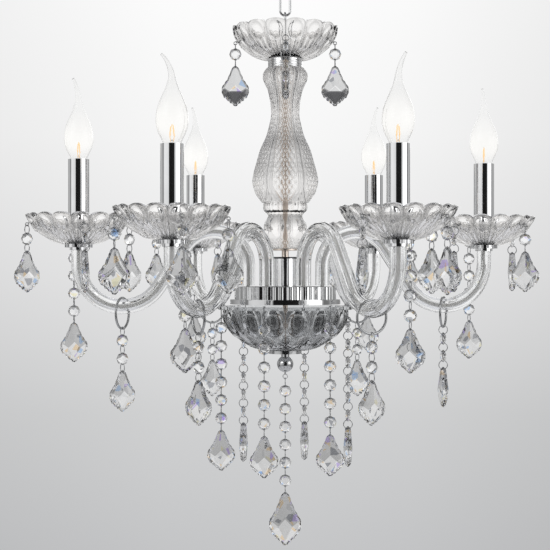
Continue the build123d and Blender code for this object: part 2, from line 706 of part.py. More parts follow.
dish = make_dish(dish_outline, dish_floor, dish_wall, holder_stem_diameter / 2 + thread_gap)
dishes = []
for index, azimuth in enumerate(arm_azimuths):
    number = index + 1
    middle = Pos(candle_radius * cos(radians(azimuth)), candle_radius * sin(radians(azimuth)), cup_top)
    pair = [pair_azimuths[index], pair_azimuths[index] + 180]
    hooks = pair + [single_azimuths[index], long_azimuths[index]]
    dishes.append(middle * pierced(dish, hooks, dish_hook_height))

    places = [middle * polar(hook_radius, direction, dish_hook_height) for direction in hooks]
    save(f"side_drops_{number}", [places[side] * piece for side in range(2)
                                  for piece in dish_drop(1, pair_twists[index][side])])
    save(f"outer_drop_{number}", [places[2] * piece for piece in dish_drop(1, single_twists[index])])
    save(f"dish_strand_{number}", [places[3] * piece
                                   for piece in dish_drop(long_beads, long_twists[index])])
    bulb_place = Pos(middle.position.X, middle.position.Y, candle_top)
    save(f"bulb_{number}", [bulb_place * piece for piece in make_bulb(bulb_tip_azimuths[index])])

    # the large ring hangs round the lowest part of the arm, with a short strand below it
    hanger_radius = (hanger_width - hanger_wire) / 2
    hanger_z = arm_tube_diameter / 2 + seat_gap + hanger_wire / 2 - hanger_radius
    strand_top = hanger_z - hanger_radius + (hanger_wire + wire) / 2 + hang_gap
    square = Rot(0, 0, 90 + hanger_yaws[index])
    pieces = [Pos(0, 0, hanger_z) * square * wire_ring(hanger_radius, hanger_wire)]
    pieces += [square * Rot(0, 0, hanger_twists[index]) * piece
               for piece in crystals(strand_top, hanger_beads)]
    save(f"ring_strand_{number}", [polar(bend_x, azimuth, bend_bottom) * piece for piece in pieces])
save("candle_dishes", dishes)

# ------------------------------------------------------------------ strands on the axis and the bowl
lip_middle = bowl_rim_z - bowl_lip / 2
for k in range(6):
    eye_z = -bowl_pin_length
    stem_length = bowl_pin_length - bowl_eye_radius + bowl_lip / 2 + pin_gap
    head_z = bowl_lip / 2 + pin_gap + pin_head_thickness / 2
    yaw = bowl_bead_yaws[k]
    pin = Pos(0, 0, head_z) * Cylinder(pin_head_diameter / 2, pin_head_thickness)
    pin += Pos(0, 0, bowl_lip / 2 + pin_gap - stem_length / 2) * Cylinder(pin_wire / 2, stem_length)
    pin += Pos(0, 0, eye_z) * Rot(0, 0, yaw + 90) * wire_ring(bowl_eye_radius)
    hanging = crystals(eye_z - bowl_eye_radius, bowl_strand_beads, start_with_ring=False)
    pieces = [pin] + [Rot(0, 0, yaw) * piece for piece in hanging]
    direction = radians(bowl_strand_start + 60 * k)
    place = Pos(bowl_strand_radius * cos(direction), bowl_strand_radius * sin(direction), lip_middle)
    save(f"bowl_strand_{k + 1}", [place * piece for piece in pieces])

centre_top = finial_eye_z - ring_radius / 2 + wire + hang_gap
save("centre_strand", [Pos(0, 0, centre_top) * piece
                       for piece in crystals(0, centre_beads, crystal=centre_pendeloque)])
for number in range(2):
    save(f"top_drops_{number + 1}", [polar(hook_radius, direction, top_dish_z + top_hook_height) * piece
                                     for direction in top_hooks[number::2]
                                     for piece in dish_drop(1, 0, ring=small_ring_radius)])
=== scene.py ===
import json
from math import atan2, cos, degrees, hypot, pi, radians, sin, sqrt, tau

import bpy
from mathutils import Matrix, Vector

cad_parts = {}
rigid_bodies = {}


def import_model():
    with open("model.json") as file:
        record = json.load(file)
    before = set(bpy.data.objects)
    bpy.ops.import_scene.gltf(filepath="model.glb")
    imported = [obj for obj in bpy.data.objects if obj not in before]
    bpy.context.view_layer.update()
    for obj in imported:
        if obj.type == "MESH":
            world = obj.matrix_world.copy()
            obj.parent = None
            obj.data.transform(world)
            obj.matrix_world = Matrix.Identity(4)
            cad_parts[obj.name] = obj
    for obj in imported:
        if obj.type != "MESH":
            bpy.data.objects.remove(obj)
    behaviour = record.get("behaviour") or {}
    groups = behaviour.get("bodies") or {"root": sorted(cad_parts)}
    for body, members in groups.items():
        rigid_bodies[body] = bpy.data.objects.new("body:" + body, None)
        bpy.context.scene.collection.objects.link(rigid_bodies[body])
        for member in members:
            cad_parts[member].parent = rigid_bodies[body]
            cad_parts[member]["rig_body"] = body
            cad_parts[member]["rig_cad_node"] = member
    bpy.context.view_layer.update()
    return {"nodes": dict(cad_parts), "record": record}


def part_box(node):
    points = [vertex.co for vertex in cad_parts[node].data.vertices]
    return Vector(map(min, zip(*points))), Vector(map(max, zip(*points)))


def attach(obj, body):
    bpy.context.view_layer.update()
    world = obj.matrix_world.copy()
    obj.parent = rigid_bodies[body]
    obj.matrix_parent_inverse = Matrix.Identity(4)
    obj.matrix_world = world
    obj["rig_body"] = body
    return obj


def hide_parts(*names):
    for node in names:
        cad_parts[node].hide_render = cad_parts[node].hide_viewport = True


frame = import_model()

# ---------------------------------------------------------------- camera, backdrop and light
# The chandelier is photographed level with its dishes through a long lens, in front of a
# pale sweep that is near white above and light grey below.
horizon, camera_side, camera_distance = -0.42195, -0.0125, 1.590


def placed(name, data):
    """A new object with this data, in the scene."""
    piece = bpy.data.objects.new(name, data)
    bpy.context.scene.collection.objects.link(piece)
    return piece


camera = placed("camera", bpy.data.cameras.new("camera"))
camera.location = (camera_side, -camera_distance, horizon)
camera.rotation_euler = (pi / 2, 0, 0)
camera.data.lens = 85
camera.data.sensor_width = 36
bpy.context.scene.camera = camera
bpy.context.scene.view_settings.view_transform = "Standard"


def deselect():
    """Nothing selected, so that an operator acts on the new piece alone."""
    if bpy.context.mode != "OBJECT":
        bpy.ops.object.mode_set(mode="OBJECT")
    bpy.ops.object.select_all(action="DESELECT")


def ramp(nodes, links, factor, stops, mode="LINEAR"):
    """A colour ramp with (place, colour) stops, read from a factor socket."""
    node = nodes.new("ShaderNodeValToRGB")
    node.color_ramp.interpolation = mode
    elements = node.color_ramp.elements
    while len(elements) > 1:
        elements.remove(elements[-1])
    elements[0].position = stops[0][0]
    elements[0].color = stops[0][1]
    for place, colour in stops[1:]:
        elements.new(place).color = colour
    links.new(factor, node.inputs[0])
    return node.outputs[0]


def grey(level):
    """An opaque neutral colour."""
    return (level, level, level, 1.0)


def share_of(nodes, links, value, low, high):
    """How far a value has come on its way from low to high, from 0 to 1."""
    node = nodes.new("ShaderNodeMapRange")
    node.inputs["From Min"].default_value = low
    node.inputs["From Max"].default_value = high
    links.new(value, node.inputs["Value"])
    return node.outputs["Result"]


def dimmed(nodes, links, colour, by):
    """One colour multiplied by another."""
    node = nodes.new("ShaderNodeMix")
    node.data_type = "RGBA"
    node.blend_type = "MULTIPLY"
    node.inputs[0].default_value = 1.0
    links.new(colour, node.inputs[6])
    links.new(by, node.inputs[7])
    return node.outputs[2]


world = bpy.data.worlds.new("studio")
bpy.context.scene.world = world
world.use_nodes = True
nodes, links = world.node_tree.nodes, world.node_tree.links
nodes.clear()
direction = nodes.new("ShaderNodeTexCoord")
split = nodes.new("ShaderNodeSeparateXYZ")
links.new(direction.outputs["Generated"], split.inputs[0])
# what the eye sees behind the object: white above, grey below, a little darker at the sides
seen = 0.21
height = share_of(nodes, links, split.outputs["Z"], -seen, seen)
sweep = ramp(nodes, links, height,
             [(0.0, (0.555, 0.56, 0.57, 1)), (0.25, (0.64, 0.645, 0.65, 1)), (0.5, (0.80, 0.80, 0.805, 1)),
              (0.75, (0.93, 0.93, 0.93, 1)), (1.0, (0.985, 0.985, 0.985, 1))])
across = share_of(nodes, links, split.outputs["X"], -seen, seen)
sides = ramp(nodes, links, across, [(0.0, grey(0.90)), (0.30, grey(0.985)), (0.55, grey(1.0)),
                                    (0.75, grey(0.97)), (1.0, grey(0.88))])
# what chrome and crystal see: a dark room round the camera, bright screens on either side
turn = nodes.new("ShaderNodeMath")
turn.operation = "ARCTAN2"
links.new(split.outputs["X"], turn.inputs[0])
links.new(split.outputs["Y"], turn.inputs[1])
around = share_of(nodes, links, turn.outputs[0], -pi, pi)
mirrored = ramp(nodes, links, around,
                [(0.0, grey(0.012)), (0.068, grey(0.015)), (0.078, grey(0.85)), (0.19, grey(1.0)),
                 (0.225, grey(0.9)), (0.235, grey(0.28)), (0.28, grey(0.30)), (0.31, grey(0.62)),
                 (0.40, grey(0.34)), (0.5, grey(0.42)), (0.60, grey(0.32)), (0.69, grey(0.60)),
                 (0.72, grey(0.26)), (0.76, grey(0.24)), (0.77, grey(0.9)), (0.81, grey(1.0)),
                 (0.912, grey(0.9)), (0.925, grey(0.02)), (1.0, grey(0.012))])
# what is seen through the glass: the same screens, with a narrow darker band beside each
through = ramp(nodes, links, around,
               [(0.0, grey(0.74)), (0.040, grey(0.66)), (0.046, grey(0.42)), (0.066, grey(0.42)),
                (0.074, grey(0.85)), (0.19, grey(1.0)), (0.228, grey(0.9)), (0.236, grey(0.46)),
                (0.262, grey(0.50)), (0.29, grey(0.92)), (0.5, grey(1.0)), (0.71, grey(0.92)),
                (0.738, grey(0.50)), (0.762, grey(0.44)), (0.77, grey(0.9)), (0.81, grey(1.0)),
                (0.918, grey(0.9)), (0.928, grey(0.42)), (0.95, grey(0.42)), (0.957, grey(0.66)),
                (1.0, grey(0.74))])
up = share_of(nodes, links, split.outputs["Z"], -1.0, 1.0)
ceiling = ramp(nodes, links, up,
               [(0.0, grey(0.15)), (0.28, grey(0.30)), (0.45, grey(0.80)), (0.56, grey(1.0)),
                (0.8, grey(1.0)), (0.9, grey(0.40)), (1.0, grey(0.85))])
beyond = ramp(nodes, links, up,
              [(0.0, grey(0.40)), (0.36, grey(0.55)), (0.42, grey(0.66)), (0.47, grey(0.84)),
               (0.51, grey(1.0)), (0.62, grey(1.0)), (0.68, grey(0.80)), (0.85, grey(1.0))])
rays = nodes.new("ShaderNodeLightPath")


def background(colour, strength=1.0):
    """Light of the world in one colour, plain or from a socket."""
    node = nodes.new("ShaderNodeBackground")
    if isinstance(colour, tuple):
        node.inputs["Color"].default_value = colour
    else:
        links.new(colour, node.inputs["Color"])
    node.inputs["Strength"].default_value = strength
    return node.outputs[0]


def choose(factor, plain, chosen):
    """Light of the world: the chosen one where the factor is 1, and the plain one elsewhere."""
    node = nodes.new("ShaderNodeMixShader")
    links.new(factor, node.inputs[0])
    links.new(plain, node.inputs[1])
    links.new(chosen, node.inputs[2])
    return node.outputs[0]


soft = background((0.96, 0.97, 1.0, 1), 0.75)
lit = choose(rays.outputs["Is Glossy Ray"], soft, background(dimmed(nodes, links, mirrored, ceiling)))
lit = choose(rays.outputs["Is Transmission Ray"], lit, background(dimmed(nodes, links, through, beyond)))
lit = choose(rays.outputs["Is Camera Ray"], lit, background(dimmed(nodes, links, sweep, sides)))
links.new(lit, nodes.new("ShaderNodeOutputWorld").inputs[0])

for name, place, size, power in (("key", (-1.5, -1.4, 0.7), 1.3, 14),
                                 ("fill", (1.9, -1.0, 0.2), 1.5, 10),
                                 ("rim", (0.6, 2.2, 0.7), 1.6, 10)):
    lamp = placed(name, bpy.data.lights.new(name, "AREA"))
    lamp.data.size = size
    lamp.data.energy = power
    lamp.location = place
    lamp.visible_transmission = False
    lamp.rotation_euler = (Vector((0, 0, horizon)) - Vector(place)).to_track_quat("-Z", "Y").to_euler()

floor_height, floor_radius, floor_border = -1.75, 2.6, 0.8
deselect()
bpy.ops.mesh.primitive_circle_add(vertices=96, radius=floor_radius, fill_type="NGON",
                                  location=(0, 0, floor_height))
floor = bpy.context.object
floor.name = "floor"
bpy.ops.object.mode_set(mode="EDIT")
bpy.ops.mesh.inset(thickness=floor_border)
bpy.ops.object.mode_set(mode="OBJECT")
paper = bpy.data.materials.new("floor_paper")
paper.use_nodes = True
shader = paper.node_tree.nodes["Principled BSDF"]
shader.inputs["Base Color"].default_value = (0.78, 0.78, 0.79, 1)
shader.inputs["Roughness"].default_value = 0.9
floor.data.materials.append(paper)


# ---------------------------------------------------------------- metal parts
# Canopy, bracket, loop and chain above; collar, sleeve, hub drum and finial on the rod; and the
# ferrules, cups and sleeves of the arms.  They keep the shapes of the CAD and take a finish.
def fine_texture():
    """Node group: fine noise and broad smears in metres, for all the polished surfaces."""
    group = bpy.data.node_groups.new("fine_texture", "ShaderNodeTree")
    for name, value in (("Fine Scale", 900.0), ("Broad Scale", 30.0)):
        group.interface.new_socket(name, in_out="INPUT", socket_type="NodeSocketFloat").default_value = value
    group.interface.new_socket("Fine", in_out="OUTPUT", socket_type="NodeSocketFloat")
    group.interface.new_socket("Broad", in_out="OUTPUT", socket_type="NodeSocketFloat")
    inside, join = group.nodes, group.links
    given, result = inside.new("NodeGroupInput"), inside.new("NodeGroupOutput")
    place = inside.new("ShaderNodeTexCoord")
    for name, scale in (("Fine", "Fine Scale"), ("Broad", "Broad Scale")):
        noise = inside.new("ShaderNodeTexNoise")
        noise.inputs["Detail"].default_value = 3.0
        join.new(place.outputs["Object"], noise.inputs["Vector"])
        join.new(given.outputs[scale], noise.inputs["Scale"])
        join.new(noise.outputs["Fac"], result.inputs[name])
    return group


textures = fine_texture()


def metal(name, colour, roughness, fine=1400.0):
    """Plated or polished metal with faint smears in its gloss and a fine polish grain."""
    material = bpy.data.materials.new(name)
    material.use_nodes = True
    nodes, links = material.node_tree.nodes, material.node_tree.links
    shader = nodes["Principled BSDF"]
    shader.inputs["Metallic"].default_value = 1.0
    texture = nodes.new("ShaderNodeGroup")
    texture.node_tree = textures
    texture.inputs["Fine Scale"].default_value = fine
    texture.inputs["Broad Scale"].default_value = 35.0
    dull = tuple(0.93 * part for part in colour)
    links.new(ramp(nodes, links, texture.outputs["Broad"], [(0.35, (*dull, 1)), (0.7, (*colour, 1))]),
              shader.inputs["Base Color"])
    links.new(ramp(nodes, links, texture.outputs["Broad"],
                   [(0.3, grey(roughness)), (0.75, grey(roughness * 2.2))]), shader.inputs["Roughness"])
    grain = nodes.new("ShaderNodeBump")
    grain.inputs["Strength"].default_value = 0.3
    grain.inputs["Distance"].default_value = 0.00002
    links.new(texture.outputs["Fine"], grain.inputs["Height"])
    links.new(grain.outputs[0], shader.inputs["Normal"])
    return material


chrome = metal("chrome_plate", (0.86, 0.865, 0.875), 0.03)
zinc = metal("zinc_plate", (0.62, 0.63, 0.65), 0.28, fine=900.0)
wire_metal = metal("ring_wire", (0.40, 0.405, 0.41), 0.16)
link_metal = metal("link_wire", (0.55, 0.555, 0.56), 0.10)


def dress(node, material):
    """A CAD node keeps its shape and takes this finish."""
    piece = frame["nodes"][node]
    piece.data.materials.clear()
    piece.data.materials.append(material)


for node in ("ceiling_canopy", "ceiling_loop", "arm_ferrules", "candle_cups", "candle_sleeves"):
    dress(node, chrome)
for node in ("chain_link_1", "chain_link_2", "hanging_loop", "finial"):
    dress(node, link_metal)


def above(nodes, links, height):
    """Mask that is 1 where the piece is above a height, in metres, and 0 below it."""
    place, axes, higher = (nodes.new("ShaderNode" + kind) for kind in ("TexCoord", "SeparateXYZ", "Math"))
    links.new(place.outputs["Object"], axes.inputs[0])
    higher.operation = "GREATER_THAN"
    higher.inputs[1].default_value = height
    links.new(axes.outputs["Z"], higher.inputs[0])
    return higher.outputs[0]


def rippled(name, colour, along, scale, depth, from_height=-1.0):
    """Chrome whose shine is broken by ripples along one direction, above a height."""
    material = metal(name, colour, 0.03)
    nodes, links = material.node_tree.nodes, material.node_tree.links
    place, drawn_out = nodes.new("ShaderNodeTexCoord"), nodes.new("ShaderNodeMapping")
    drawn_out.inputs["Scale"].default_value = along
    links.new(place.outputs["Object"], drawn_out.inputs["Vector"])
    ripple = nodes.new("ShaderNodeTexNoise")
    ripple.inputs["Scale"].default_value = scale
    links.new(drawn_out.outputs[0], ripple.inputs["Vector"])
    bump = nodes.new("ShaderNodeBump")
    bump.inputs["Distance"].default_value = depth
    links.new(above(nodes, links, from_height), bump.inputs["Strength"])
    links.new(ripple.outputs["Fac"], bump.inputs["Height"])
    links.new(bump.outputs[0], nodes["Principled BSDF"].inputs["Normal"])
    return material


# the hub's thin band shows upright ripples in its shine, its flange none; the collar has turned rings
flange_thickness = 0.006
flange_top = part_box("hub_drum")[0].z + flange_thickness
dress("hub_drum", rippled("rolled_chrome", (0.74, 0.745, 0.75), along=(1, 1, 0), scale=120.0, depth=0.009,
                          from_height=flange_top))
dress("top_collar", rippled("turned_chrome", (0.80, 0.805, 0.81), along=(0, 0, 1), scale=300.0, depth=0.003))
dress("ceiling_bracket", zinc)
# the washer on top of the centre sleeve is coloured near black
washer_thickness = 0.0021
sleeve_chrome = metal("sleeve_chrome", (0.86, 0.865, 0.875), 0.03)
nodes, links = sleeve_chrome.node_tree.nodes, sleeve_chrome.node_tree.links
shader = nodes["Principled BSDF"]
near_black_washer = nodes.new("ShaderNodeMix")
near_black_washer.data_type = "RGBA"
washer_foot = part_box("centre_sleeve")[1].z - washer_thickness
links.new(above(nodes, links, washer_foot), near_black_washer.inputs[0])
links.new(shader.inputs["Base Color"].links[0].from_socket, near_black_washer.inputs[6])
near_black_washer.inputs[7].default_value = (0.045, 0.045, 0.048, 1)
links.new(near_black_washer.outputs[2], shader.inputs["Base Color"])
dress("centre_sleeve", sleeve_chrome)
dress("centre_rod", metal("rod_steel", (0.80, 0.70, 0.62), 0.22))


# ---------------------------------------------------------------- pressed glass
# Dishes, column and bowl are pressed from clear glass, about four millimetres thick, with
# their petals and leaves in the mould; the surface is softly wavy where it left the iron.
def glass(name, tint, roughness, wave=0.00012, scale=55.0, ior=1.5, glow=None, painted_relief_shade=None):
    """Clear glass, its skin slightly wavy; glow is the colour, strength and lowest height of a lit bulb's
    light, and the relief greys are the painted shade and painted highlight of grooves, plain skin and
    hollows of pressed glass."""
    material = bpy.data.materials.new(name)
    material.use_nodes = True
    nodes, links = material.node_tree.nodes, material.node_tree.links
    shader = nodes["Principled BSDF"]
    shader.inputs["Transmission Weight"].default_value = 1.0
    shader.inputs["IOR"].default_value = ior
    texture = nodes.new("ShaderNodeGroup")
    texture.node_tree = textures
    texture.inputs["Fine Scale"].default_value = 6 * scale
    texture.inputs["Broad Scale"].default_value = scale
    deep = tuple(0.975 * part for part in tint)
    colour = ramp(nodes, links, texture.outputs["Broad"], [(0.3, (*deep, 1)), (0.7, (*tint, 1))])
    # painted shade and painted highlight of the relief: each point's value picks a grey for groove, plain
    # skin or hollow, multiplied into the tint
    if painted_relief_shade:
        pressed = nodes.new("ShaderNodeAttribute")
        pressed.attribute_name = "painted_relief_shade"
        grooved, plain, hollow = (grey(level) for level in painted_relief_shade)
        shade = ramp(nodes, links, pressed.outputs["Fac"], [(0.0, grooved), (0.5, plain), (1.0, hollow)])
        colour = dimmed(nodes, links, colour, shade)
    links.new(colour, shader.inputs["Base Color"])
    links.new(ramp(nodes, links, texture.outputs["Fine"],
                   [(0.35, grey(roughness)), (0.8, grey(roughness * 2.5))]), shader.inputs["Roughness"])
    waves = nodes.new("ShaderNodeBump")
    waves.inputs["Strength"].default_value = 0.5
    waves.inputs["Distance"].default_value = wave
    links.new(texture.outputs["Broad"], waves.inputs["Height"])
    links.new(waves.outputs[0], shader.inputs["Normal"])
    if glow:
        tone, strength, foot = glow
        place, upright = nodes.new("ShaderNodeTexCoord"), nodes.new("ShaderNodeSeparateXYZ")
        links.new(place.outputs["Object"], upright.inputs[0])
        reach = 0.1
        level = share_of(nodes, links, upright.outputs["Z"], foot, foot + reach)
        links.new(ramp(nodes, links, level,
                       [(0.0, grey(0.0)), (0.16, (*tone, 1)), (0.30, (*tone, 1)), (0.60, grey(0.2))]),
                  shader.inputs["Emission Color"])
        shader.inputs["Emission Strength"].default_value = strength
    return material


# painted shade: the dishes' grooves and rim edge are greyed, and their plain skin and windows stay nearly
# clear
pressed_glass = glass("pressed_glass", (0.975, 0.966, 0.956), 0.012, ior=1.42, painted_relief_shade=(0.55, 0.96, 1.0))


def smooth_line(points, count):
    """Points along a soft curve through the given ones, evenly spread."""
    fine = []
    for index in range(len(points) - 1):
        before = points[max(index - 1, 0)]
        a, b = points[index], points[index + 1]
        after = points[min(index + 2, len(points) - 1)]
        for step in range(24):
            t = step / 24
            fine.append(tuple(
                0.5 * (2 * a[k] + (b[k] - before[k]) * t
                       + (2 * before[k] - 5 * a[k] + 4 * b[k] - after[k]) * t * t
                       + (3 * a[k] - before[k] - 3 * b[k] + after[k]) * t ** 3) for k in (0, 1)))
    fine.append(points[-1])
    walked = [0.0]
    for a, b in zip(fine, fine[1:]):
        walked.append(walked[-1] + hypot(b[0] - a[0], b[1] - a[1]))
    line, at = [], 0
    for number in range(count):
        want = walked[-1] * number / (count - 1)
        while at < len(fine) - 2 and walked[at + 1] < want:
            at += 1
        t = (want - walked[at]) / max(walked[at + 1] - walked[at], 1e-9)
        line.append(tuple(fine[at][k] + (fine[at + 1][k] - fine[at][k]) * min(t, 1) for k in (0, 1)))
    return line


def picked(piece):
    """Only this piece selected, and active."""
    deselect()
    bpy.context.view_layer.objects.active = piece
    piece.select_set(True)


def select_all_in(piece):
    """Edit mode on this piece alone, with its whole mesh selected."""
    picked(piece)
    bpy.ops.object.mode_set(mode="EDIT")
    bpy.ops.mesh.select_all(action="SELECT")


def meshed(name, points, edges, faces):
    """A new object in the scene, its mesh built from points in metres."""
    mesh = bpy.data.meshes.new(name)
    mesh.from_pydata(points, edges, faces)
    return placed(name, mesh)


def spun(name, section, steps, material, closed=True):
    """A half section in millimetres, (radius, height), spun once round the axis."""
    count = len(section)
    edges = [(k, k + 1) for k in range(count - 1)] + ([(count - 1, 0)] if closed else [])
    piece = meshed(name, [(r * 0.001, 0, z * 0.001) for r, z in section], edges, [])
    select_all_in(piece)
    bpy.ops.mesh.spin(steps=steps, angle=tau, center=(0, 0, 0), axis=(0, 0, 1))
    bpy.ops.mesh.remove_doubles(threshold=0.00001)
    bpy.ops.mesh.normals_make_consistent(inside=False)
    bpy.ops.object.mode_set(mode="OBJECT")
    bpy.ops.object.shade_smooth_by_angle(angle=radians(42))
    piece.data.materials.append(material)
    return piece


def copies(piece, places):
    """A copy of a finished piece, with its own mesh, at each place."""
    made = []
    for place in places:
        copy = piece.copy()
        copy.data = piece.data.copy()
        copy.data.transform(place)
        bpy.context.scene.collection.objects.link(copy)
        made.append(copy)
    bpy.data.objects.remove(piece)
    return made


def joined(pieces, name):
    """The pieces as one mesh, under a name of its own."""
    deselect()
    for piece in pieces:
        piece.select_set(True)
    bpy.context.view_layer.objects.active = pieces[0]
    bpy.ops.object.join()
    pieces[0].name = name
    return pieces[0]


def stands_for(piece, body, node):
    """A finished piece takes the place of a CAD node on its body."""
    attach(piece, body)
    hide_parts(node)


# ---------------------------------------------------------------- drip dishes
# Six pressed dishes, one under each candle: sixteen petals with thick round rims, a hollow
# window in each, and ribs that run together at the foot.
def wall_section(outline, wall, base, hole, rows):
    """Closed half section of a dish: up the outside, over the rim, down the inside."""
    outer = smooth_line(outline, rows)
    inner = []
    for k, (r, z) in enumerate(outer):
        a, b = outer[max(k - 1, 0)], outer[min(k + 1, rows - 1)]
        length = hypot(b[0] - a[0], b[1] - a[1])
        inner.append((r - wall * (b[1] - a[1]) / length, z + wall * (b[0] - a[0]) / length))
    inner = [point for point in inner[::3] if point[1] > base + 0.4][::-1]
    return outer, [(hole, 0)] + outer + inner + [(outline[0][0], base), (hole, base)]


def petalled(piece, outer, petals, depth, window, relief, leaves=None):
    """Presses petals into a spun dish: scalloped rim, hollow windows, ribs towards the foot, or
    on the bowl a row of leaves between the petals and pebbles under them.  A window is its
    middle below the rim, half height and half width, leaves the same above the foot: heights
    in millimetres along the wall, widths in shares of half a petal."""
    foot_radius = outer[0][0]
    middle, tall, wide = window
    row, leaf_tall, leaf_wide = leaves or (0.0, 1.0, 1.0)
    long = [0.0]
    for a, b in zip(outer, outer[1:]):
        long.append(long[-1] + hypot(b[0] - a[0], b[1] - a[1]))
    total = long[-1]
    # painted shade and painted highlight of the relief, one value per point: 1 in the windows, 0 on grooves,
    # 0.5 on plain skin
    painted_relief_shade = piece.data.attributes.new("painted_relief_shade", "FLOAT", "POINT")
    for vertex, shade in zip(piece.data.vertices, painted_relief_shade.data):
        x, y, z = (1000 * part for part in vertex.co)
        r, angle = hypot(x, y), atan2(y, x)
        shade.value = 0.5
        if r < foot_radius * 0.98:
            continue
        # from -1 to 1 across a petal
        u = 2 * ((angle * petals / tau) % 1.0) - 1
        # the nearest point of the outer line tells how far up the wall this is
        near = min(range(len(outer)), key=lambda k: (outer[k][0] - r) ** 2 + (outer[k][1] - z) ** 2)
        s = long[near]
        a, b = outer[max(near - 1, 0)], outer[min(near + 1, len(outer) - 1)]
        length = hypot(b[0] - a[0], b[1] - a[1])
        along = ((b[0] - a[0]) / length, (b[1] - a[1]) / length)
        outward = (along[1], -along[0])
        outside = (r - outer[near][0]) * outward[0] + (z - outer[near][1]) * outward[1] > -0.6
        # the rim drops between two petals, and the wall below it with it, less and less
        drop = depth * (1 - sqrt(max(0.0, 1 - u * u * 0.98)))
        slip = -drop * max(0.0, (s / total - 0.25) / 0.75)
        # under 1 in the hollow window, and up to 2.2 on the raised border round it
        q = ((s - (total - middle)) / tall) ** 2 + (u / wide) ** 2
        push = ribs = pebble = 0.0
        hollow = q < 0.8
        if outside:
            if q < 1:
                push -= relief * (1 - q) ** 0.6
            elif q < 2.2:
                push += 0.35 * relief * sin(pi * (q - 1) / 1.2)
            if not leaves:
                ribs = max(0.0, min(1.0, (total - middle - tall * 0.4 - s) / 6.0)) * min(1.0, s / 6.0)
                push += ribs * 0.42 * relief * cos(pi * 3 * u)
                push -= 0.75 * relief * max(0.0, abs(u) - 0.80) / 0.20 * min(1.0, s / 8.0)
        elif q < 1:
            push -= 0.25 * relief * (1 - q)
        # grooves round the windows, along the rim edge and round the leaves: the glass greys them as painted
        # shade on the dishes and lightens them as painted highlight on the bowl
        groove = max(0.0, 1 - abs(q - 1.25) / 0.45) if outside and q < 2.2 else 0.0
        groove = max(groove, max(0.0, (s - total + 1.6) / 1.6) * 0.7)
        if leaves and outside:
            leaf = ((s - row) / leaf_tall) ** 2 + ((1 - abs(u)) / leaf_wide) ** 2
            if q > 1.5:
                push -= 0.8 * relief * max(0.0, 1 - leaf) ** 0.6
                groove = max(groove, max(0.0, 1 - abs(leaf - 1.15) / 0.35))
                hollow = leaf < 0.7
            # the pebbles fade out half-way up the leaves
            pebble = max(0.0, min(1.0, (row + 4 - s) / 8)) if leaf > 1.2 else 0.0
            pebble *= sin(32 * angle + 2 * sin(s)) * sin(1.1 * s)
            push += 0.6 * pebble
        elif not leaves:
            groove = max(groove, max(0.0, abs(u) - 0.82) / 0.18, ribs * 0.6 * max(0.0, -cos(pi * 3 * u)))
        # the painted relief shade of this point: 1 in a window, down towards 0 on a groove, 0.5 on plain
        # skin, changed across the pebbles
        shade.value = 1.0 if hollow and groove == 0 else 0.5 - 0.5 * min(1.0, groove) + 0.4 * pebble
        dr = slip * along[0] + push * outward[0]
        dz = slip * along[1] + push * outward[1]
        vertex.co = ((r + dr) * cos(angle) / 1000, (r + dr) * sin(angle) / 1000, (z + dz) / 1000)
    piece.data.update()


arm_azimuths = (7.0, 60.0, 119.5, 188.0, 241.0, 298.0)
candle_radius = 0.250
dish_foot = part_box("candle_dishes")[0].z
petals, dish_wall, dish_base, dish_rows = 16, 4.0, 5.0, 34
rim_drop, dish_relief = 5.0, 2.2
stem_hole, rod_hole = 5.3, 3.3
dish_line = [(17, 0), (26, 2), (35.6, 7), (51, 17), (58.4, 26.5), (62.7, 35)]
outer, section = wall_section(dish_line, dish_wall, dish_base, stem_hole, dish_rows)
dish = spun("dish", section, petals * 14, pressed_glass)
petalled(dish, outer, petals, rim_drop, window=(12.0, 8.5, 0.62), relief=dish_relief)
arm_turns = [Matrix.Rotation(radians(azimuth), 4, "Z") for azimuth in arm_azimuths]
arm_spots = [(turn @ Vector((candle_radius, 0, 0))).xy for turn in arm_turns]
dishes = copies(dish, [Matrix.Translation((spot.x, spot.y, dish_foot)) for spot in arm_spots])
stands_for(joined(dishes, "candle_dishes_glass"), "frame", "candle_dishes")

# ---------------------------------------------------------------- top dish
# The same pattern, deeper and a little wider, open above round the hanging ring, with a
# narrow hole for the rod in its base.
top_line = [(21, 0), (37, 4), (51, 13.5), (61.3, 27), (64.3, 39)]
outer, section = wall_section(top_line, dish_wall, dish_base, rod_hole, dish_rows)
top_dish = spun("top_dish_glass", section, petals * 14, pressed_glass)
petalled(top_dish, outer, petals, rim_drop, window=(13.0, 9.5, 0.62), relief=dish_relief)
top_dish.data.transform(Matrix.Translation((0, 0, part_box("top_dish")[0].z)))
stands_for(top_dish, "frame", "top_dish")

# ---------------------------------------------------------------- column
# Turned glass column in two lengths: six leaf panels of small diamonds stand between smooth
# flutes, and the foot below has plain ovals over a band of fine points.
column_line = [(31, 0), (33, 2.7), (38.5, 14.9), (40.7, 27.3), (35.5, 49.1), (30.8, 64.7), (23.8, 80.3),
               (19.4, 95.8), (17.5, 111.5), (21, 134.8), (28, 153.6), (23, 164)]
foot_line = [(17.5, 0), (25.3, 12.5), (26.7, 28.1), (21.9, 41.4), (26.3, 46.9), (27, 54), (25, 57)]
bore = 7.0
# degrees from the middle of one leaf panel to the next
panel = 60


def diamonds(angle, z, wide, tall):
    """Height from 0 to 1 of a field of four-sided points."""
    a, b = angle / wide + z / tall, angle / wide - z / tall
    return (1 - 2 * abs(a % 1.0 - 0.5)) * (1 - 2 * abs(b % 1.0 - 0.5))


